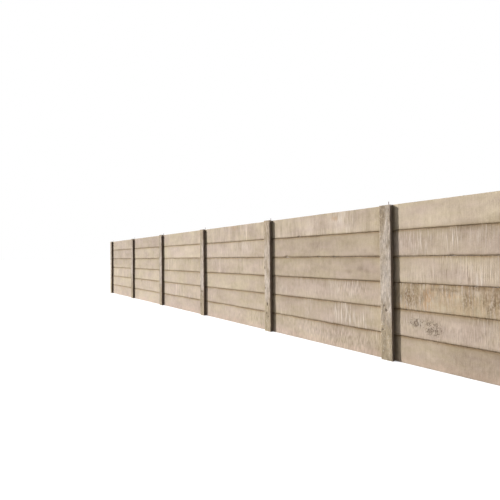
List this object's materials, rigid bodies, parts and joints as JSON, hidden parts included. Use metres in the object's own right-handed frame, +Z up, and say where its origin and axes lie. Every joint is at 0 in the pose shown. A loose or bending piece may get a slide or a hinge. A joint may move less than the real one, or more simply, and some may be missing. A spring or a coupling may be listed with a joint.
{
  "type": "precast concrete boundary wall",
  "caption": "Boundary wall of plain precast concrete panels stacked on edge between slotted H-section posts, a straight run of whole bays.",
  "frame": {"origin": "centre of the underside of the middle post (post_4), at ground level", "axes": "+X along the wall, to the right as seen from the front; +Y through the wall from front to back; +Z up"},
  "size_m": [13.17, 0.15, 1.848],
  "materials": {
    "panel_concrete": "cast face, weathered, vertical streaks",
    "post_concrete": "rough, weathered, aggregate showing",
    "bar_steel": "rusted, uncoated"
  },
  "bodies": {
    "root": {"post_1": "post_concrete", "post_2": "post_concrete", "post_3": "post_concrete", "post_4": "post_concrete", "post_5": "post_concrete", "post_6": "post_concrete", "post_7": "post_concrete", "bay_1_panel_1": "panel_concrete", "bay_1_panel_2": "panel_concrete", "bay_1_panel_3": "panel_concrete", "bay_1_panel_4": "panel_concrete", "bay_1_panel_5": "panel_concrete", "bay_1_panel_6": "panel_concrete", "bay_2_panel_1": "panel_concrete", "bay_2_panel_2": "panel_concrete", "bay_2_panel_3": "panel_concrete", "bay_2_panel_4": "panel_concrete", "bay_2_panel_5": "panel_concrete", "bay_2_panel_6": "panel_concrete", "bay_3_panel_1": "panel_concrete", "bay_3_panel_2": "panel_concrete", "bay_3_panel_3": "panel_concrete", "bay_3_panel_4": "panel_concrete", "bay_3_panel_5": "panel_concrete", "bay_3_panel_6": "panel_concrete", "bay_4_panel_1": "panel_concrete", "bay_4_panel_2": "panel_concrete", "bay_4_panel_3": "panel_concrete", "bay_4_panel_4": "panel_concrete", "bay_4_panel_5": "panel_concrete", "bay_4_panel_6": "panel_concrete", "bay_5_panel_1": "panel_concrete", "bay_5_panel_2": "panel_concrete", "bay_5_panel_3": "panel_concrete", "bay_5_panel_4": "panel_concrete", "bay_5_panel_5": "panel_concrete", "bay_5_panel_6": "panel_concrete", "bay_6_panel_1": "panel_concrete", "bay_6_panel_2": "panel_concrete", "bay_6_panel_3": "panel_concrete", "bay_6_panel_4": "panel_concrete", "bay_6_panel_5": "panel_concrete", "bay_6_panel_6": "panel_concrete", "bar_ends": "bar_steel"}
  },
  "joints": []
}
